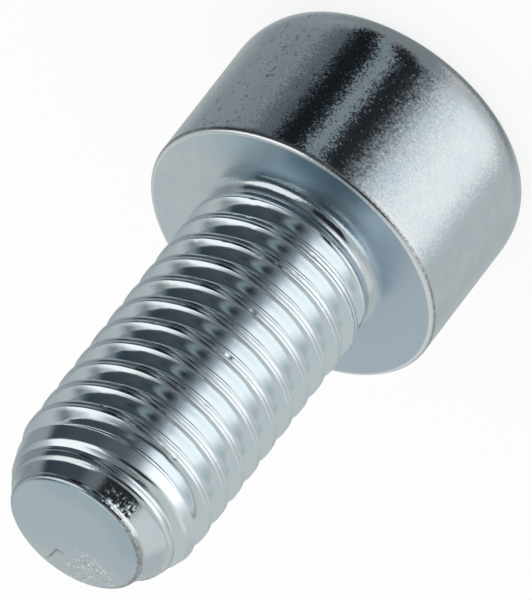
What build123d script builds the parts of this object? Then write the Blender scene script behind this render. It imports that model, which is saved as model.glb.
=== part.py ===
from build123d import *
import os
from math import ceil, radians, sqrt, tan

# Socket head cap screw, M10 x 1.5, 20 mm long, threaded up to its head.
# It stands on its head: the origin is the middle of the head's flat top and +Z runs to the
# point. All lengths are in millimetres and all angles in degrees.

# Head: a plain cylinder, its top edge and the rim of its bearing face broken
head_diameter = 15.9
head_height = 9.65
top_edge_break = 1.0
bearing_rim_break = 0.15

# Hex socket in the head's top, for an 8 mm hex key
socket_across_flats = 8.1
socket_depth = 5.4
socket_mouth_chamfer = 0.3
socket_floor_angle = 150

# Shank, with a plain neck below the thread and a cone in the corner where it meets the head
shank_length = 20.0
neck_step = 0.475  # from the crests down to the neck
under_head_cone_height = 0.6
under_head_cone_width = 0.6

# Thread: metric coarse, right-handed, a plain V groove between flat crests
thread_diameter = 9.95
thread_pitch = 1.5
thread_angle = 60
crest_flat = thread_pitch / 4
crest_rise_angle = 45
run_out_angle = 45
thread_end_angle = 133.5  # from +X to where the crest line reaches the plane of the point

# Point: a flat disc, a chamfer, and a slimmer cone on which the thread fades in
point_diameter = 7.1
chamfered_diameter = 8.8
chamfer_angle = 30
fade_in_length = 1.6

# Heights that follow from the sizes above
point_height = head_height + shank_length
neck_height = head_height + under_head_cone_height

# Section of the groove between two crests, which overruns the crests a little to cut them
# cleanly
thread_radius = thread_diameter / 2
neck_radius = thread_radius - neck_step
flank_slope = tan(radians(thread_angle / 2))
groove_half_width = (thread_pitch - crest_flat) / 2
root_radius = thread_radius - groove_half_width / flank_slope
groove_overrun = thread_pitch / 20
outer_radius = thread_radius + groove_overrun
outer_half_width = groove_half_width + groove_overrun * flank_slope

# The groove starts inside the head and leaves past the point, in whole turns
crest_at_x_axis = point_height - thread_pitch * thread_end_angle / 360
shank_turns = ceil(shank_length / thread_pitch)
groove_start = crest_at_x_axis - (shank_turns + 0.5) * thread_pitch
groove_turns = shank_turns + 2
groove_path = [
    Helix(
        thread_pitch,
        thread_pitch,
        thread_radius,
        center=(0, 0, groove_start + turn * thread_pitch),
    )
    for turn in range(groove_turns)
]

with BuildPart() as groove:
    with BuildSketch(Plane.XZ):
        with BuildLine():
            Polyline(
                (root_radius, groove_start),
                (outer_radius, groove_start - outer_half_width),
                (outer_radius, groove_start + outer_half_width),
                close=True,
            )
        make_face()
    sweep(path=groove_path, is_frenet=True, clean=False)

# The screw is one piece: the threaded shank, its neck, the head and the socket in it
with BuildPart() as cap_screw:
    # Shank: the neck, the cone on which the crests rise, the point's chamfer and the cone
    # behind it
    point_radius = point_diameter / 2
    crest_rise_height = neck_step / tan(radians(crest_rise_angle))
    chamfer_height = (chamfered_diameter - point_diameter) / 2 / tan(radians(chamfer_angle))
    with BuildSketch(Plane.XZ):
        with BuildLine():
            Polyline(
                (0, point_height),
                (0, head_height),
                (neck_radius, head_height),
                (neck_radius, neck_height),
                (thread_radius, neck_height + crest_rise_height),
                (thread_radius, point_height - chamfer_height - fade_in_length),
                (chamfered_diameter / 2, point_height - chamfer_height),
                (point_radius, point_height),
                close=True,
            )
        make_face()
    revolve(axis=Axis.Z)
    add(groove.part, mode=Mode.SUBTRACT, clean=False)

    # Neck: the cone under the head, and the cone on which the groove runs out
    run_out_height = (neck_radius - root_radius) / tan(radians(run_out_angle))
    with BuildSketch(Plane.XZ):
        with BuildLine():
            Polyline(
                (neck_radius, neck_height),
                (root_radius, neck_height + run_out_height),
                (0, neck_height + run_out_height),
                (0, head_height),
                (neck_radius + under_head_cone_width, head_height),
                close=True,
            )
        make_face()
    revolve(axis=Axis.Z)

    # Head
    Cylinder(
        head_diameter / 2,
        head_height,
        align=(Align.CENTER, Align.CENTER, Align.MIN),
    )
    rims = cap_screw.edges().filter_by(
        lambda edge: edge.geom_type == GeomType.CIRCLE
        and abs(edge.radius - head_diameter / 2) < 0.001
    )
    chamfer(rims.group_by(Axis.Z)[0], top_edge_break)
    chamfer(rims.group_by(Axis.Z)[-1], bearing_rim_break)

    # Socket: the hexagon, its conical floor and the chamfer of its mouth
    with BuildSketch(Plane.XY):
        RegularPolygon(socket_across_flats / 2, 6, major_radius=False)
    extrude(amount=socket_depth, mode=Mode.SUBTRACT)
    floor_rise = socket_across_flats / 2 / tan(radians(socket_floor_angle / 2))
    mouth_radius = socket_across_flats / sqrt(3) + socket_mouth_chamfer
    with BuildSketch(Plane.XZ):
        with BuildLine():
            Polyline(
                (0, socket_depth),
                (socket_across_flats / 2, socket_depth),
                (0, socket_depth + floor_rise),
                close=True,
            )
        make_face()
        with BuildLine():
            Polyline(
                (0, 0),
                (mouth_radius, 0),
                (0, mouth_radius),
                close=True,
            )
        make_face()
    revolve(axis=Axis.Z, mode=Mode.SUBTRACT)

cap_screw.part.label = "cap_screw"
os.makedirs("parts", exist_ok=True)
export_step(cap_screw.part, "parts/cap_screw.step")
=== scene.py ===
from math import ceil, cos, pi, radians, sin, sqrt, tan

import bpy
from mathutils import Matrix, Vector, noise


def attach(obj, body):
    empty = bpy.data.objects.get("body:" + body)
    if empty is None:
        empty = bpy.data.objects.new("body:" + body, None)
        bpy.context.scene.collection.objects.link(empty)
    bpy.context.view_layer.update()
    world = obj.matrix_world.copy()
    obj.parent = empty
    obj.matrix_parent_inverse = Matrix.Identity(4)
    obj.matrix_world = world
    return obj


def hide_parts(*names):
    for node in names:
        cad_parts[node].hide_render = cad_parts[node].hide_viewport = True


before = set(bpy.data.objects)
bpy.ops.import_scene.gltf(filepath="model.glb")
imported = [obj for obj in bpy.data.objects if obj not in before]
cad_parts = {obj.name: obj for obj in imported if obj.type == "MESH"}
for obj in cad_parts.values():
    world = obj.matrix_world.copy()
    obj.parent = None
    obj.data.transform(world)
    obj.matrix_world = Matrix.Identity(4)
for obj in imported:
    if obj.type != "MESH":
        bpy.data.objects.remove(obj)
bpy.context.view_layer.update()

# ---------------------------------------------------------------------------------------------
# Sizes of the screw, in metres. The main ones are those of the part's source
# ---------------------------------------------------------------------------------------------
MM = 0.001

# Head: its top edge is a quarter of an ellipse, the rim of its bearing face a quarter circle
HEAD_RADIUS = 7.95 * MM
HEAD_HEIGHT = 9.65 * MM
TOP_EDGE_WIDTH = 1.3 * MM
TOP_EDGE_HEIGHT = 2.2 * MM
RIM_ROUNDING = 0.24 * MM

# Hex socket in the head's top, with a chamfered mouth and a conical floor
SOCKET_FLATS = 8.1 * MM
SOCKET_DEPTH = 5.4 * MM
SOCKET_MOUTH = 0.3 * MM
SOCKET_FLOOR_ANGLE = radians(150)
SOCKET_FLOOR_RADIUS = SOCKET_FLATS / 2
SOCKET_FLOOR_RISE = SOCKET_FLATS / 2 / tan(SOCKET_FLOOR_ANGLE / 2)

# Shank, and the neck with its fillet under the head
SHANK_LENGTH = 20.0 * MM
NECK_RADIUS = 4.5 * MM
NECK_FILLET = 0.6 * MM
POINT_HEIGHT = HEAD_HEIGHT + SHANK_LENGTH
NECK_TOP = HEAD_HEIGHT + NECK_FILLET

# Thread: each crest is two rolled lips with a seam between them and rounded shoulders, and stays
# just inside the source's. Its line reaches the plane of the point at the end angle, from +X
THREAD_RADIUS = 4.97 * MM
PITCH = 1.5 * MM
FLANK_SLOPE = tan(radians(60))
CREST_HALF = 0.17 * MM
SHOULDER_ROUNDING = 0.07 * MM
SEAM_DEPTH = 0.03 * MM
SEAM_HALF = 0.05 * MM
ROOT_ROUNDING = 0.13 * MM
FLANK_CROWN = 0.006 * MM
THREAD_END_ANGLE = radians(146)

# Above the neck the crests rise and the groove gets its depth over these lengths
CREST_RISE = 0.7 * MM
ROOT_RUN_OUT = 1.3 * MM

# Nicks in the crests: shallow waves of a noise, which has this many units in the thread's radius
# and in a millimetre of height, with dents where a finer noise passes a limit
NICK_DEPTH = 0.02 * MM
NICK_UNITS_ACROSS = 9
NICK_UNITS_UP = 1.3
NICK_WAVE = 0.25
DENT_FINENESS = 3.1
DENT_SHIFT = Vector((7, 3, 5))
DENT_LIMIT = 0.42
DENT_GAIN = 5

# Point: a dished disc, a bead around it, a chamfer, and a slimmer cone on which the thread
# fades in
BEAD_RADIUS = 3.66 * MM
BEAD_WIDTH = 0.28 * MM
BEAD_ROUNDING = 0.22 * MM
BEAD_HEIGHT = 0.36 * MM
CHAMFER_START = 3.452 * MM
CHAMFER_ANGLE = radians(30)
CHAMFERED_RADIUS = 4.4 * MM
FADE_IN_LENGTH = 1.7 * MM
THREAD_TOP = POINT_HEIGHT - BEAD_HEIGHT - 0.04 * MM
DISH_DEPTH = 0.05 * MM

# The last crest is a low step in the chamfer. It starts at a height over the crest's line, and
# rises over shares of a turn before the thread's end
STEP_HEIGHT = 0.09 * MM
STEP_START = -0.12 * MM
STEP_LENGTH = 0.13 * MM
STEP_FIRST_TURN = 0.15
STEP_RISE_TURN = 0.2

# Columns of the skin around the axis
COLUMNS = 240

# Heights and radii that follow from the thread's sizes
SHOULDER_END = CREST_HALF + SHOULDER_ROUNDING * sin(pi / 3)
ROOT_START = PITCH / 2 - ROOT_ROUNDING * sin(pi / 3)
SHOULDER_RADIUS = THREAD_RADIUS - SHOULDER_ROUNDING / 2
ROOT_CENTRE = SHOULDER_RADIUS - (ROOT_START - SHOULDER_END) * FLANK_SLOPE + ROOT_ROUNDING / 2
ROOT_RADIUS = ROOT_CENTRE - ROOT_ROUNDING


def smooth(x):
    """From 0 to 1 in a smooth step, as x goes from 0 to 1."""
    x = min(max(x, 0.0), 1.0)
    return x * x * (3 - 2 * x)


# ---------------------------------------------------------------------------------------------
# Form of the shank: its radius at a height and an angle around the axis
# ---------------------------------------------------------------------------------------------
def thread_profile(offset):
    """Radius of the thread's section at an offset along the axis from the crest's middle."""
    offset = abs((offset + PITCH / 2) % PITCH - PITCH / 2)
    if offset <= SEAM_HALF:
        return THREAD_RADIUS - SEAM_DEPTH * (1 + cos(pi * offset / SEAM_HALF)) / 2
    if offset <= CREST_HALF:
        return THREAD_RADIUS
    if offset <= SHOULDER_END:
        across = offset - CREST_HALF
        return THREAD_RADIUS - SHOULDER_ROUNDING + sqrt(SHOULDER_ROUNDING**2 - across**2)
    if offset <= ROOT_START:
        crown = FLANK_CROWN * sin(pi * (offset - SHOULDER_END) / (ROOT_START - SHOULDER_END))
        return SHOULDER_RADIUS - (offset - SHOULDER_END) * FLANK_SLOPE + crown
    return ROOT_CENTRE - sqrt(ROOT_ROUNDING**2 - (PITCH / 2 - offset) ** 2)


def profile_offsets():
    """Offsets from the crest's middle at which one pitch of the thread is sampled."""
    seam = [SEAM_HALF * k / 2 for k in range(3)]
    lip = [(SEAM_HALF + CREST_HALF) / 2, CREST_HALF]
    shoulder = [CREST_HALF + SHOULDER_ROUNDING * sin(pi / 3 * k / 3) for k in (1, 2, 3)]
    flank = [SHOULDER_END + (ROOT_START - SHOULDER_END) * k / 4 for k in (1, 2, 3, 4)]
    root = [PITCH / 2 - ROOT_ROUNDING * sin(pi / 3 * k / 2) for k in (1, 0, -1)]
    far_flank = [PITCH - SHOULDER_END - (ROOT_START - SHOULDER_END) * k / 2 for k in (2, 1, 0)]
    before = [-x for x in reversed(shoulder[:-1])]
    before += [-x for x in reversed(lip)] + [-x for x in reversed(seam[1:])]
    return before + seam + lip + shoulder + flank + root + far_flank


def last_crest_step(z, angle):
    """Share of the low step that the last crest makes in the chamfer."""
    turn = (THREAD_END_ANGLE - angle) % (2 * pi) / (2 * pi)
    above = z - (POINT_HEIGHT - PITCH * turn)
    rise = smooth((turn - STEP_FIRST_TURN) / STEP_RISE_TURN)
    last = smooth((STEP_START - above) / STEP_LENGTH) * rise
    before = smooth((STEP_START - above - PITCH) / STEP_LENGTH)
    return max(last, before)


def point_envelope(z, angle):
    """Largest radius near the point: the chamfer and the cone on which the thread fades in."""
    down = POINT_HEIGHT - z
    chamfer_height = (CHAMFERED_RADIUS - STEP_HEIGHT - CHAMFER_START) / tan(CHAMFER_ANGLE)
    if down <= chamfer_height:
        step = STEP_HEIGHT * last_crest_step(z, angle)
        return CHAMFER_START + down * tan(CHAMFER_ANGLE) + step
    fade = min((down - chamfer_height) / FADE_IN_LENGTH, 1.0)
    return CHAMFERED_RADIUS + (THREAD_RADIUS - CHAMFERED_RADIUS) * fade


def crest_envelope(z):
    """Largest radius near the head, where the crests rise out of the neck."""
    rise = smooth((z - NECK_TOP) / CREST_RISE)
    return NECK_RADIUS + (THREAD_RADIUS - NECK_RADIUS) * rise


def root_envelope(z):
    """Smallest radius near the head, where the groove runs out into the neck."""
    return NECK_RADIUS - (NECK_RADIUS - ROOT_RADIUS) * smooth((z - NECK_TOP) / ROOT_RUN_OUT)


def crest_offset(z, angle):
    """Offset along the axis from the crest's line."""
    return z - POINT_HEIGHT + PITCH * (THREAD_END_ANGLE - angle) / (2 * pi)


def nick(z, angle):
    """Height of the waves in the rolled crests, less the depth of their dents."""
    place = Vector((cos(angle), sin(angle), 0)) * NICK_UNITS_ACROSS
    place += Vector((0, 0, z / MM * NICK_UNITS_UP))
    wave = noise.noise(place) * NICK_WAVE
    dent = max(noise.noise(place * DENT_FINENESS + DENT_SHIFT) - DENT_LIMIT, 0.0) * DENT_GAIN
    return NICK_DEPTH * (wave - dent)


def shank_radius(z, angle):
    """Radius of the shank: the thread, its nicks, and its limits at the neck and the point."""
    thread = thread_profile(crest_offset(z, angle))
    crest = smooth((thread - SHOULDER_RADIUS) / (THREAD_RADIUS - SHOULDER_RADIUS) + 0.5)
    thread += nick(z, angle) * crest
    envelope = min(point_envelope(z, angle), crest_envelope(z))
    return min(max(thread, root_envelope(z)), envelope, THREAD_RADIUS)


# ---------------------------------------------------------------------------------------------
# Rings of the head and the point. A ring is a function of the angle that gives (r, z). Where a
# face meets an edge, a ring close beside the edge keeps the face's shading flat
# ---------------------------------------------------------------------------------------------
def arc(centre, radii, start, end, steps):
    """Points on an arc of a circle or ellipse of the lathe profile, ends included, as (r, z)."""
    angles = [start + (end - start) * k / steps for k in range(steps + 1)]
    return [(centre[0] + radii[0] * cos(a), centre[1] + radii[1] * sin(a)) for a in angles]


def round_rings(points):
    """Round rings through points (r, z)."""
    return [lambda angle, point=point: point for point in points]


def hexagon_radius(angle):
    """Radius of the socket's hexagon, two of whose corners lie on the X axis."""
    sector = angle % (pi / 3) - pi / 6
    return SOCKET_FLATS / 2 / cos(sector)


def socket_rings():
    """Rings of the socket, from the middle of its floor to its mouth."""
    mouth = SOCKET_FLATS / sqrt(3) + SOCKET_MOUTH
    floor = [
        (SOCKET_FLOOR_RADIUS * share, SOCKET_DEPTH + SOCKET_FLOOR_RISE * (1 - share))
        for share in (0.03, 0.3, 0.65, 0.97)
    ]
    rings = round_rings(floor + [(SOCKET_FLOOR_RADIUS * 0.9999, SOCKET_DEPTH)])
    for share in (0.0, 0.03, 0.5, 1.0):
        def wall(angle, share=share):
            radius = hexagon_radius(angle)
            top = mouth - radius
            return radius, SOCKET_DEPTH + (top - SOCKET_DEPTH) * share
        rings.append(wall)
    for share in (0.06, 0.5, 0.94, 1.0):
        def chamfer(angle, share=share):
            inner = hexagon_radius(angle)
            radius = inner + (mouth - inner) * share
            return radius, mouth - radius
        rings.append(chamfer)
    edge = HEAD_RADIUS - TOP_EDGE_WIDTH
    return rings + round_rings((mouth + (edge - mouth) * s, 0.0) for s in (0.04, 0.5, 0.96))


def head_rings():
    """Rings of the head, from its top edge over its side to the foot of the neck's fillet."""
    edge = HEAD_RADIUS - TOP_EDGE_WIDTH
    top = arc((edge, TOP_EDGE_HEIGHT), (TOP_EDGE_WIDTH, TOP_EDGE_HEIGHT), -pi / 2, 0, 14)
    side_top = HEAD_HEIGHT - RIM_ROUNDING
    side = [
        (HEAD_RADIUS, TOP_EDGE_HEIGHT + (side_top - TOP_EDGE_HEIGHT) * s)
        for s in (0.03, 0.25, 0.5, 0.75, 0.97)
    ]
    outer = HEAD_RADIUS - RIM_ROUNDING
    rim = arc((outer, side_top), (RIM_ROUNDING, RIM_ROUNDING), 0, pi / 2, 6)
    foot = NECK_RADIUS + NECK_FILLET
    face = [(outer + (foot - outer) * s, HEAD_HEIGHT) for s in (0.02, 0.2, 0.5, 0.8, 0.98)]
    fillet = arc((foot, NECK_TOP), (NECK_FILLET, NECK_FILLET), -pi / 2, -pi, 10)
    return round_rings(top + side + rim + face + fillet[:-1])


def point_rings():
    """Rings of the bead around the point's disc and of its dish, up to the middle."""
    inner = BEAD_RADIUS - BEAD_WIDTH
    foot = POINT_HEIGHT - BEAD_HEIGHT
    bead_centre = (inner, POINT_HEIGHT - BEAD_ROUNDING)
    rings = [(BEAD_RADIUS + 0.006 * MM, foot - 0.01 * MM)]
    rings += [(BEAD_RADIUS, foot + 0.02 * MM), (BEAD_RADIUS, foot + 0.08 * MM)]
    rings += arc(bead_centre, (BEAD_WIDTH, BEAD_ROUNDING), 0, pi / 2, 10)
    for share in (0.97, 0.9, 0.8, 0.6, 0.4, 0.2, 0.02):
        rings.append((inner * share, POINT_HEIGHT - DISH_DEPTH * smooth((1 - share) * 2)))
    return round_rings(rings)


# ---------------------------------------------------------------------------------------------
# The screw's skin: one grid of columns around the axis, from the middle of the socket's floor
# over the head, up the shank and to the middle of the point
# ---------------------------------------------------------------------------------------------
class Skin:
    """Vertices and faces, put together ring by ring."""

    def __init__(self):
        self.vertices = []
        self.faces = []

    def vertex(self, radius, z, angle):
        self.vertices.append((radius * cos(angle), radius * sin(angle), z))
        return len(self.vertices) - 1

    def ring(self, shape):
        """One vertex in each column, on a ring."""
        ids = []
        for i in range(COLUMNS):
            angle = 2 * pi * i / COLUMNS
            radius, z = shape(angle)
            ids.append(self.vertex(radius, z, angle))
        return ids

    def bands(self, rings):
        """Faces between each ring and the next."""
        for lower, upper in zip(rings, rings[1:]):
            for i in range(COLUMNS):
                k = (i + 1) % COLUMNS
                self.faces.append((lower[i], lower[k], upper[k], upper[i]))

    def fan(self, ring, centre, upward):
        """Faces between a ring and a vertex in its middle."""
        for i in range(COLUMNS):
            k = (i + 1) % COLUMNS
            side = (ring[i], ring[k]) if upward else (ring[k], ring[i])
            self.faces.append((centre, *side))

    def quad(self, *corners):
        """A face with its repeated corners left out."""
        corners = tuple(dict.fromkeys(corners))
        if len(corners) > 2:
            self.faces.append(corners)


def shank_columns(skin, rows, per_pitch, first_crest):
    """Columns of the shank's vertices. Rows follow the helix, and end at the neck and point."""
    offsets = profile_offsets()
    columns = []
    for i in range(COLUMNS):
        angle = 2 * pi * i / COLUMNS
        column = []
        last_z = None
        for j in range(rows):
            turn, k = divmod(j, per_pitch)
            z = first_crest + turn * PITCH + offsets[k] + PITCH * angle / (2 * pi)
            z = min(max(z, NECK_TOP), THREAD_TOP)
            if last_z is not None and z - last_z < 1e-9:
                column.append(column[-1])
                continue
            last_z = z
            column.append(skin.vertex(shank_radius(z, angle), z, angle))
        columns.append(column)
    return columns


def add_shank(skin):
    """The shank's faces. The last column meets the first one a pitch higher up."""
    per_pitch = len(profile_offsets())
    crest_at_start = POINT_HEIGHT - PITCH * THREAD_END_ANGLE / (2 * pi)
    turns_down = ceil((crest_at_start - NECK_TOP) / PITCH) + 1
    first_crest = crest_at_start - turns_down * PITCH
    rows = (ceil((THREAD_TOP - first_crest) / PITCH) + 1) * per_pitch
    columns = shank_columns(skin, rows, per_pitch, first_crest)
    for here, beside in zip(columns, columns[1:]):
        for j in range(rows - 1):
            skin.quad(here[j], beside[j], beside[j + 1], here[j + 1])
    first = columns[0]
    last = columns[-1]
    top = rows - 1
    for j in range(-per_pitch, rows - 1):
        below = (last[max(j, 0)], first[min(j + per_pitch, top)])
        above = (first[min(j + 1 + per_pitch, top)], last[max(j + 1, 0)])
        skin.quad(*below, *above)
    return columns


def build_screw():
    skin = Skin()
    head = [skin.ring(shape) for shape in socket_rings() + head_rings()]
    floor_middle = skin.vertex(0.0, SOCKET_DEPTH + SOCKET_FLOOR_RISE, 0.0)
    skin.fan(head[0], floor_middle, False)
    skin.bands(head)
    columns = add_shank(skin)
    skin.bands([head[-1], [column[0] for column in columns]])
    point = [[column[-1] for column in columns]]
    point += [skin.ring(shape) for shape in point_rings()]
    skin.bands(point)
    disc_middle = skin.vertex(0.0, POINT_HEIGHT - DISH_DEPTH, 0.0)
    skin.fan(point[-1], disc_middle, True)

    mesh = bpy.data.meshes.new("screw_skin")
    mesh.from_pydata(skin.vertices, [], skin.faces)
    mesh.validate()
    mesh.update()
    for polygon in mesh.polygons:
        polygon.use_smooth = True
    screw = bpy.data.objects.new("screw_skin", mesh)
    bpy.context.collection.objects.link(screw)
    return screw


# ---------------------------------------------------------------------------------------------
# Camera: it looks down on the point at the elevation, and is rolled so that the screw lies
# across the view. It aims beside the middle of the bearing face
# ---------------------------------------------------------------------------------------------
ELEVATION = radians(32.75)
ROLL = radians(217.65)
DISTANCE = 0.9
VIEW_HEIGHT = 28.83 * MM
RIGHT_OF_FACE = 1.187 * MM
ABOVE_FACE = 2.21 * MM
SENSOR = 36.0


def make_camera():
    back = Vector((0.0, -cos(ELEVATION), sin(ELEVATION)))
    level_right = Vector((1.0, 0.0, 0.0))
    level_up = back.cross(level_right)
    right = level_right * cos(ROLL) + level_up * sin(ROLL)
    up = level_up * cos(ROLL) - level_right * sin(ROLL)
    target = Vector((0.0, 0.0, HEAD_HEIGHT)) - right * RIGHT_OF_FACE - up * ABOVE_FACE
    data = bpy.data.cameras.new("camera")
    data.sensor_width = SENSOR
    data.lens = SENSOR * DISTANCE / VIEW_HEIGHT
    data.clip_start = 0.05
    data.clip_end = 10.0
    camera = bpy.data.objects.new("camera", data)
    rotation = Matrix((right, up, back)).transposed().to_4x4()
    camera.matrix_world = Matrix.Translation(target + back * DISTANCE) @ rotation
    bpy.context.collection.objects.link(camera)
    bpy.context.scene.camera = camera


# ---------------------------------------------------------------------------------------------
# Nodes
# ---------------------------------------------------------------------------------------------
class Nodes:
    """A small helper that adds nodes to a tree and links them by value."""

    def __init__(self, tree):
        self.tree = tree

    def add(self, kind, inputs=(), **settings):
        """A node. An input that is a socket is linked, and one that is a value is set."""
        node = self.tree.nodes.new(kind)
        for name, value in settings.items():
            setattr(node, name, value)
        for key, value in dict(inputs).items():
            if isinstance(value, bpy.types.NodeSocket):
                self.tree.links.new(value, node.inputs[key])
            else:
                node.inputs[key].default_value = value
        return node

    def math(self, operation, *values):
        return self.add("ShaderNodeMath", dict(enumerate(values)), operation=operation).outputs[0]

    def product(self, *values):
        result = values[0]
        for value in values[1:]:
            result = self.math("MULTIPLY", result, value)
        return result

    def total(self, *values):
        result = values[0]
        for value in values[1:]:
            result = self.math("ADD", result, value)
        return result

    def vector(self, operation, *values, scale=None):
        """A vector made from vectors."""
        inputs = dict(enumerate(values))
        if scale is not None:
            inputs["Scale"] = scale
        return self.add("ShaderNodeVectorMath", inputs, operation=operation).outputs["Vector"]

    def measure(self, operation, *values):
        """A number made from vectors, such as their distance."""
        inputs = dict(enumerate(values))
        return self.add("ShaderNodeVectorMath", inputs, operation=operation).outputs["Value"]

    def mix(self, factor, first, second):
        sockets = {"Factor": factor, 6: first, 7: second}
        return self.add("ShaderNodeMix", sockets, data_type="RGBA").outputs[2]

    def step(self, value, start, end, first=0.0, last=1.0):
        """First below start, last above end, with a smooth step between."""
        inputs = {"Value": value, 1: start, 2: end, 3: first, 4: last}
        return self.add("ShaderNodeMapRange", inputs, interpolation_type="SMOOTHSTEP").outputs[0]

    def fall(self, value, start, end):
        """One below start, none above end, with a smooth step between."""
        return self.step(value, start, end, 1.0, 0.0)

    def spot(self, place, centre, inner, outer):
        """One inside the inner distance from a centre, none beyond the outer."""
        return self.fall(self.measure("DISTANCE", place, centre), inner, outer)

    def line(self, place, start, end, width):
        """One in the core of the line between two places, none beyond its width."""
        along = Vector(end) - Vector(start)
        away = self.vector("SUBTRACT", place, start)
        share = self.measure("DOT_PRODUCT", away, tuple(along / along.length_squared))
        share = self.add("ShaderNodeClamp", {0: share}).outputs[0]
        nearest = self.vector("SCALE", tuple(along), scale=share)
        core = width * 0.4
        return self.fall(self.measure("DISTANCE", away, nearest), core, width)

    def noise(self, place, fineness, detail):
        """Noise with a fineness along each axis, as value and colour."""
        stretched = self.vector("MULTIPLY", place, fineness)
        inputs = {"Vector": stretched, "Scale": 1.0, "Detail": detail}
        node = self.add("ShaderNodeTexNoise", inputs)
        return node.outputs[0], node.outputs[1]


# ---------------------------------------------------------------------------------------------
# Zinc plate. Places in its nodes are in millimetres in the frame's own axes, and sides of the
# screw are angles around its axis from +X, in degrees. The side towards the camera is at -90,
# and the head's upper left in the camera's view at 0
# ---------------------------------------------------------------------------------------------
PLATE = (0.66, 0.715, 0.755, 1)
PALE_PLATE = (0.70, 0.735, 0.755, 1)
THREAD_PLATE = (0.79, 0.84, 0.87, 1)
DISC_PLATE = (0.615, 0.685, 0.745, 1)
DISC_PAINTED_SHADE_BLUE = (0.52, 0.62, 0.68, 1)
BEARING_TEAL = (0.54, 0.67, 0.74, 1)
BEARING_BLUE = (0.56, 0.64, 0.72, 1)
BEARING_PAINTED_SHADE = (0.29, 0.42, 0.51, 1)
HEAD_YELLOW = (0.66, 0.69, 0.64, 1)
PIT = (0.22, 0.29, 0.34, 1)
SCRATCH = (0.20, 0.23, 0.24, 1)
PAINTED_GLINT = (1.0, 1.0, 1.0, 1)
RIM_PAINTED_HIGHLIGHT = (0.93, 0.94, 0.95, 1)
WORN_BROWN = (0.30, 0.27, 0.25, 1)
WORN_GREY = (0.30, 0.28, 0.27, 1)

DISC_SHADE_SIDE = -95
BEARING_TEAL_SIDE = -78
BEARING_SHADE_SIDE = -84
BEARING_BLUE_SIDE = 180
HEAD_PITTED_SIDE = 30
SPARKLE_SIDE = -102
DISC_PALE_SIDE = 113
DISC_WORN_SIDE = -160

# Heights and radii of the zones' edges, in millimetres
FACE = HEAD_HEIGHT / MM
SIDE = HEAD_RADIUS / MM
FILLET_FOOT = (NECK_RADIUS + NECK_FILLET) / MM
POINT = POINT_HEIGHT / MM
BEAD = BEAD_RADIUS / MM

ROUGH_SPOT_MIDDLE = (-1.75, 2.05, POINT - 0.05)
SCRATCH_START = (0.32, 3.2, 0)
SCRATCH_CORNER = (0.22, 2.15, 0)
SCRATCH_END = (-0.15, 2.12, 0)


class Plate(Nodes):
    """The plate's nodes: places on the screw, the noises, and the zones of its finish."""

    def __init__(self, tree):
        super().__init__(tree)
        texture_place = self.add("ShaderNodeTexCoord").outputs["Object"]
        self.place = self.vector("SCALE", texture_place, scale=1 / MM)
        self.z = self.add("ShaderNodeSeparateXYZ", {"Vector": self.place}).outputs["Z"]
        self.flat = self.vector("MULTIPLY", self.place, (1, 1, 0))
        self.radius = self.measure("LENGTH", self.flat)
        self.outward = self.vector("NORMALIZE", self.flat)
        self.add_noises()
        self.add_zones()

    def add_noises(self):
        self.grain, self.grain_tilt = self.noise(self.place, (9, 9, 9), 1.5)
        self.stroke, self.stroke_tilt = self.noise(self.place, (4, 4, 7), 3)
        self.wave, self.wave_tilt = self.noise(self.place, (1.1, 1.1, 1.1), 2)
        self.crumble, self.crumble_tilt = self.noise(self.place, (6, 6, 6), 2)
        self.speck = self.noise(self.place, (7, 7, 7), 1)[0]
        self.pit = self.noise(self.place, (5, 5, 4), 2.5)[0]

    def add_zones(self):
        z = self.z
        self.head = self.fall(z, FACE - 0.2, FACE - 0.05)
        below = self.step(z, FACE - 0.1, FACE - 0.01)
        self.bearing = self.product(below, self.fall(z, FACE + 0.01, FACE + 0.1))
        above_neck = self.step(z, FACE + 0.35, FACE + 0.85)
        self.thread = self.product(above_neck, self.fall(z, POINT - 1.65, POINT - 1.15))
        self.disc = self.step(z, POINT - 0.15, POINT - 0.03)
        below = self.step(z, FACE - 0.31, FACE - 0.19)
        rim_height = self.product(below, self.fall(z, FACE - 0.15, FACE - 0.07))
        self.rim = self.product(rim_height, self.step(self.radius, SIDE - 0.25, SIDE - 0.15))
        rough_spot = self.spot(self.place, ROUGH_SPOT_MIDDLE, 0.5, 1.9)
        self.rough_spot = self.product(self.disc, rough_spot)
        chamfer = self.step(z, POINT - 1.05, POINT - 0.9)
        chamfer = self.product(chamfer, self.fall(self.disc, 0.2, 0.8))
        self.sparkle = self.product(chamfer, self.step(self.facing(SPARKLE_SIDE), 0.955, 0.985))

    def facing(self, side):
        """Cosine of the angle around the axis between the place and a side."""
        direction = (cos(radians(side)), sin(radians(side)), 0)
        return self.measure("DOT_PRODUCT", self.outward, direction)

    def towards(self, side):
        """Distance of the place from the axis, along the direction of a side."""
        direction = (cos(radians(side)), sin(radians(side)), 0)
        return self.measure("DOT_PRODUCT", self.flat, direction)


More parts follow.
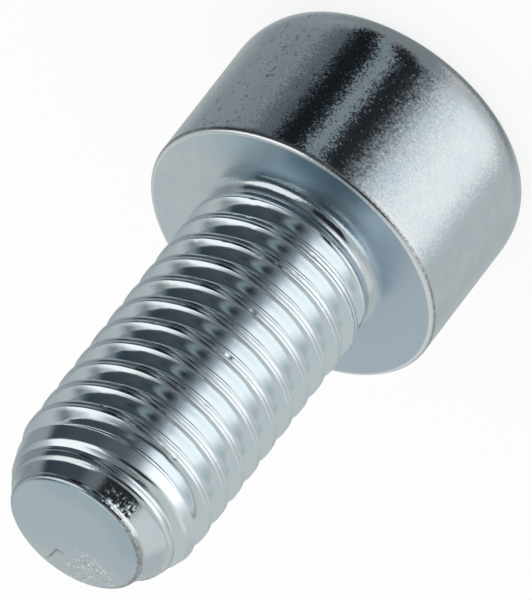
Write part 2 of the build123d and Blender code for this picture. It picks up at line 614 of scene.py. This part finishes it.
def plate_normal(n):
    """The surface's normal, tilted by crystals, waves, strokes and the rough patches."""
    around = n.vector("CROSS_PRODUCT", (0, 0, 1), n.outward)
    stroke_size = n.product(n.math("SUBTRACT", n.stroke, 0.5), n.head, 0.06)
    slopes = n.vector("SCALE", around, scale=stroke_size)
    by_zone = (n.product(n.head, 0.10), n.product(n.thread, -0.085), n.product(n.bearing, 0.08))
    tilts = (
        (n.grain_tilt, n.total(0.10, *by_zone)),
        (n.wave_tilt, n.total(0.02, n.product(n.thread, 0.03))),
        (n.crumble_tilt, n.product(n.sparkle, 0.75)),
        (n.crumble_tilt, n.product(n.rough_spot, n.step(n.speck, 0.50, 0.58), 4.5)),
        (n.stroke_tilt, n.product(n.head, n.step(n.speck, 0.63, 0.72), 0.7)),
    )
    for tilt, size in tilts:
        centred = n.vector("SUBTRACT", tilt, (0.5, 0.5, 0.5))
        slopes = n.vector("ADD", slopes, n.vector("SCALE", centred, scale=size))
    geometry = n.add("ShaderNodeNewGeometry").outputs["Normal"]
    return n.vector("NORMALIZE", n.vector("ADD", geometry, slopes))


def plate_tint(n):
    """Bluish to pale plate, paler on the thread and bluer on most of the disc, with painted shade
    on the disc's outer part towards the camera.
    """
    tint = n.mix(n.step(n.wave, 0.38, 0.62), PLATE, PALE_PLATE)
    tint = n.mix(n.thread, tint, THREAD_PLATE)
    tint = n.mix(n.product(n.disc, n.fall(n.towards(DISC_PALE_SIDE), 0.5, 2.8)), tint, DISC_PLATE)
    # Painted shade: the disc's outer part towards the camera is painted darker and bluer
    shaded_side = n.step(n.facing(DISC_SHADE_SIDE), 0.2, 0.75)
    return n.mix(n.product(n.disc, n.step(n.radius, 1.4, 3.5), shaded_side), tint, DISC_PAINTED_SHADE_BLUE)


def bearing_tint(n, tint):
    """Blue-green passivation on the bearing face, and painted shade, a dark blue patch, at its
    rim towards the camera.
    """
    teal_side = n.step(n.facing(BEARING_TEAL_SIDE), 0.5, 0.9)
    mottled = n.step(n.grain, 0.3, 0.6, 0.6, 1.0)
    tint = n.mix(n.product(n.bearing, teal_side, mottled), tint, BEARING_TEAL)
    blue_side = n.step(n.facing(BEARING_BLUE_SIDE), 0.2, 0.9)
    tint = n.mix(n.product(n.bearing, blue_side), tint, BEARING_BLUE)
    # Painted shade: the outer part of the face towards the camera is painted dark blue, mottled
    shade_side = n.step(n.facing(BEARING_SHADE_SIDE), 0.92, 0.985)
    outer = n.product(n.bearing, n.step(n.radius, FILLET_FOOT + 0.3, SIDE - 0.35), shade_side)
    mottled = n.step(n.crumble, 0.2, 0.6, 0.6, 1.0)
    return n.mix(n.product(outer, mottled), tint, BEARING_PAINTED_SHADE)


def head_wear(n, tint):
    """A yellowed side of the head, and clusters of dark pits around it."""
    side = n.facing(HEAD_PITTED_SIDE)
    tint = n.mix(n.product(n.head, n.step(side, 0.68, 0.80)), tint, HEAD_YELLOW)
    pits = n.product(n.head, n.step(n.wave, 0.49, 0.57), n.step(n.pit, 0.54, 0.65))
    return n.mix(n.product(pits, n.step(side, 0.0, 0.35), 0.8), tint, PIT)


def disc_wear_and_glints(n, tint):
    """A scratch of two lines on the disc, and painted highlights: white glints in its rough
    patch.
    """
    long_line = n.line(n.flat, SCRATCH_START, SCRATCH_CORNER, 0.09)
    short_line = n.line(n.flat, SCRATCH_CORNER, SCRATCH_END, 0.07)
    scratch = n.math("MAXIMUM", long_line, short_line)
    scratch = n.product(scratch, n.disc, n.step(n.speck, 0.35, 0.6, 0.2, 0.75))
    tint = n.mix(scratch, tint, SCRATCH)
    # Painted highlight: white specks in the rough patch
    return n.mix(n.product(n.rough_spot, n.step(n.speck, 0.54, 0.60)), tint, PAINTED_GLINT)


def rim_wear_and_highlight(n, tint):
    """A painted highlight, a pale line on the bearing face's rim, with a brown line beside it,
    and the disc's grey line.
    """
    # Painted highlight: a pale line along the rim of the bearing face
    rim_highlight = n.step(n.radius, SIDE - 0.27, SIDE - 0.21)
    rim_highlight = n.product(rim_highlight, n.step(n.z, FACE - 0.09, FACE - 0.05))
    tint = n.mix(rim_highlight, tint, RIM_PAINTED_HIGHLIGHT)
    worn = n.product(n.rim, n.step(n.crumble, 0.35, 0.6, 0.35, 0.9))
    tint = n.mix(worn, tint, WORN_BROWN)
    disc_rim = n.step(n.radius, BEAD - 0.24, BEAD - 0.16)
    disc_rim = n.product(disc_rim, n.step(n.z, POINT - 0.27, POINT - 0.15))
    worn_side = n.step(n.facing(DISC_WORN_SIDE), 0.2, 0.8, 0.3, 1.0)
    worn = n.product(disc_rim, worn_side, n.step(n.crumble, 0.35, 0.6, 0.25, 0.85))
    return n.mix(worn, tint, WORN_GREY)


def plate_roughness(n):
    """Glossy, a little rougher on each face and roughest on the bearing face."""
    outward = n.step(n.radius, FILLET_FOOT, FILLET_FOOT + 1.2, 0.12, 0.27)
    bearing = n.product(n.bearing, outward)
    head = n.product(n.head, 0.05)
    thread = n.product(n.thread, 0.03)
    disc = n.product(n.disc, 0.10)
    return n.total(0.09, head, bearing, thread, disc, n.product(n.rim, 0.15))


def make_zinc():
    """Bright zinc plate with fine crystals, the wear of the screw's faces and rims, and painted
    shade and highlights.
    """
    material = bpy.data.materials.new("zinc_plate")
    material.use_nodes = True
    tree = material.node_tree
    bsdf = tree.nodes["Principled BSDF"]
    n = Plate(tree)
    tint = bearing_tint(n, plate_tint(n))
    tint = rim_wear_and_highlight(n, disc_wear_and_glints(n, head_wear(n, tint)))
    tree.links.new(tint, bsdf.inputs["Base Color"])
    tree.links.new(plate_roughness(n), bsdf.inputs["Roughness"])
    tree.links.new(plate_normal(n), bsdf.inputs["Normal"])
    bsdf.inputs["Metallic"].default_value = 1.0
    return material


# ---------------------------------------------------------------------------------------------
# Studio: a pale surround with soft boxes and flags, seen only in the metal, a white background
# and a white floor
# ---------------------------------------------------------------------------------------------
# Each card has its middle and half width in azimuth, the same in elevation, the softness of its
# edges, all in degrees, and its colour. Azimuth 0 is towards the camera, and it grows towards -X.
# A later card lies over an earlier one. The flags lean: they stand at their azimuth at the
# elevation FLAG_EL, and FLAG_LEAN degrees further to -X for each degree above it, between limits.
SURROUND = (0.56, 0.60, 0.60)
CARDS = {
    "ground": ((0, 180), (-85, 36), 14, (0.25, 0.27, 0.28)),
    "ground_right": ((62, 46), (-62, 26), 10, (0.56, 0.57, 0.58)),
    "back_low": ((180, 50), (-30, 20), 12, (0.50, 0.54, 0.545)),
    "left_wall": ((-100, 50), (-15, 42), 22, (0.29, 0.32, 0.34)),
    "left_low": ((-74, 28), (-2, 26), 8, (0.042, 0.058, 0.074)),
    "right_wall": ((84, 30), (16, 20), 8, (0.74, 0.76, 0.76)),
    "front_room": ((-30, 50), (0, 34), 8, (0.06, 0.073, 0.085)),
    "front_floor": ((-24, 34), (-30, 22), 8, (0.07, 0.083, 0.093)),
    "front_top": ((-8, 28), (52, 45), 10, (0.15, 0.175, 0.19)),
    "zenith": ((0, 180), (90, 16), 7, (0.17, 0.19, 0.20)),
    "overhead_box": ((-76, 36), (50, 18), 5, (1.08, 1.10, 1.10)),
    "right_dim": ((36, 18), (46, 18), 8, (0.38, 0.42, 0.45)),
    "camera_side": ((16, 29), (42, 22), 6, (0.02, 0.022, 0.026)),
    "back_box": ((180, 34), (66, 9), 5, (1.3, 1.32, 1.32)),
    "back_left": ((-140, 20), (54, 12), 6, (0.13, 0.16, 0.18)),
}
FLAGS = {
    "left_shade": ((-66, 9), (-34, 14), 8, (0.125, 0.15, 0.17)),
    "left_flag": ((-50, 12.5), (-42, 19), 5, (0.008, 0.010, 0.013)),
    "gap": ((-30.5, 6.5), (-34, 22), 4.5, (0.28, 0.33, 0.355)),
    "right_flag": ((-12.4, 11.4), (-42, 19), 4, (0.014, 0.016, 0.02)),
}
KEYS = {
    "key_box": ((42.5, 33.5), (-20, 29), 20, (0.69, 0.755, 0.80)),
    "key_mid": ((56, 22), (-22, 30), 14, (1.0, 1.02, 1.02)),
    "key_core": ((44, 26), (-10, 18), 11, (1.35, 1.36, 1.35)),
}
FLAG_EL = -33
FLAG_LEAN = 0.75
FLAG_LEAN_LOWEST = -60.0
FLAG_LEAN_HIGHEST = -10.0
WHITE = (1.0, 1.0, 1.0, 1.0)
FLOOR_COLOUR = (0.9, 0.9, 0.9, 1.0)
FLOOR_HALF_SIZE = 1.0
FLOOR_GLOW = 0.85


def add_card(n, colour, azimuth, elevation, card):
    """The colours seen so far with one card over them."""
    (middle, half_width), (height, half_height), soft, card_colour = card
    across = 1.0
    if half_width < 180:
        offset = n.math("WRAP", n.math("SUBTRACT", azimuth, middle), 180.0, -180.0)
        offset = n.math("ABSOLUTE", offset)
        across = n.fall(offset, half_width - soft, half_width + soft)
    rise = n.math("ABSOLUTE", n.math("SUBTRACT", elevation, height))
    upward = n.fall(rise, half_height - soft, half_height + soft)
    return n.mix(n.product(across, upward), colour, (*card_colour, 1.0))


def build_world():
    """Cards for the metal's reflections, and plain white for all else."""
    world = bpy.data.worlds.new("studio")
    bpy.context.scene.world = world
    world.use_nodes = True
    tree = world.node_tree
    tree.nodes.clear()
    n = Nodes(tree)
    direction = n.add("ShaderNodeTexCoord").outputs["Generated"]
    parts = n.add("ShaderNodeSeparateXYZ", {"Vector": direction}).outputs
    left = n.math("MULTIPLY", parts["X"], -1.0)
    front = n.math("MULTIPLY", parts["Y"], -1.0)
    azimuth = n.math("DEGREES", n.math("ARCTAN2", left, front))
    elevation = n.math("DEGREES", n.math("ARCSINE", parts["Z"]))
    lean = n.math("MAXIMUM", elevation, FLAG_LEAN_LOWEST)
    lean = n.math("SUBTRACT", n.math("MINIMUM", lean, FLAG_LEAN_HIGHEST), FLAG_EL)
    leaning_azimuth = n.math("SUBTRACT", azimuth, n.math("MULTIPLY", lean, FLAG_LEAN))
    colour = (*SURROUND, 1.0)
    for cards, side in ((CARDS, azimuth), (FLAGS, leaning_azimuth), (KEYS, azimuth)):
        for card in cards.values():
            colour = add_card(n, colour, side, elevation, card)
    glossy = n.add("ShaderNodeLightPath").outputs["Is Glossy Ray"]
    background = n.add("ShaderNodeBackground", {"Color": n.mix(glossy, WHITE, colour)})
    n.add("ShaderNodeOutputWorld", {"Surface": background.outputs[0]})


def build_floor():
    """A white floor that glows for the camera and takes a faint shadow."""
    size = FLOOR_HALF_SIZE
    corners = [(-size, -size, 0), (size, -size, 0), (size, size, 0), (-size, size, 0)]
    mesh = bpy.data.meshes.new("floor")
    mesh.from_pydata(corners, [], [(0, 1, 2, 3)])
    floor = bpy.data.objects.new("floor", mesh)
    bpy.context.collection.objects.link(floor)
    floor.visible_glossy = False
    material = bpy.data.materials.new("floor_white")
    material.use_nodes = True
    tree = material.node_tree
    tree.nodes.clear()
    n = Nodes(tree)
    diffuse = n.add("ShaderNodeBsdfDiffuse", {"Color": FLOOR_COLOUR})
    glow = n.add("ShaderNodeEmission", {"Color": WHITE, "Strength": 1.0})
    camera_ray = n.add("ShaderNodeLightPath").outputs["Is Camera Ray"]
    share = n.product(camera_ray, FLOOR_GLOW)
    surface = n.add("ShaderNodeMixShader", {0: share, 1: diffuse.outputs[0], 2: glow.outputs[0]})
    n.add("ShaderNodeOutputMaterial", {"Surface": surface.outputs[0]})
    mesh.materials.append(material)


# ---------------------------------------------------------------------------------------------
# The scene
# ---------------------------------------------------------------------------------------------
screw = build_screw()
screw.data.materials.append(make_zinc())
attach(screw, "root")
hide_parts("cap_screw")

make_camera()
build_world()
build_floor()
bpy.context.scene.view_settings.view_transform = "Standard"
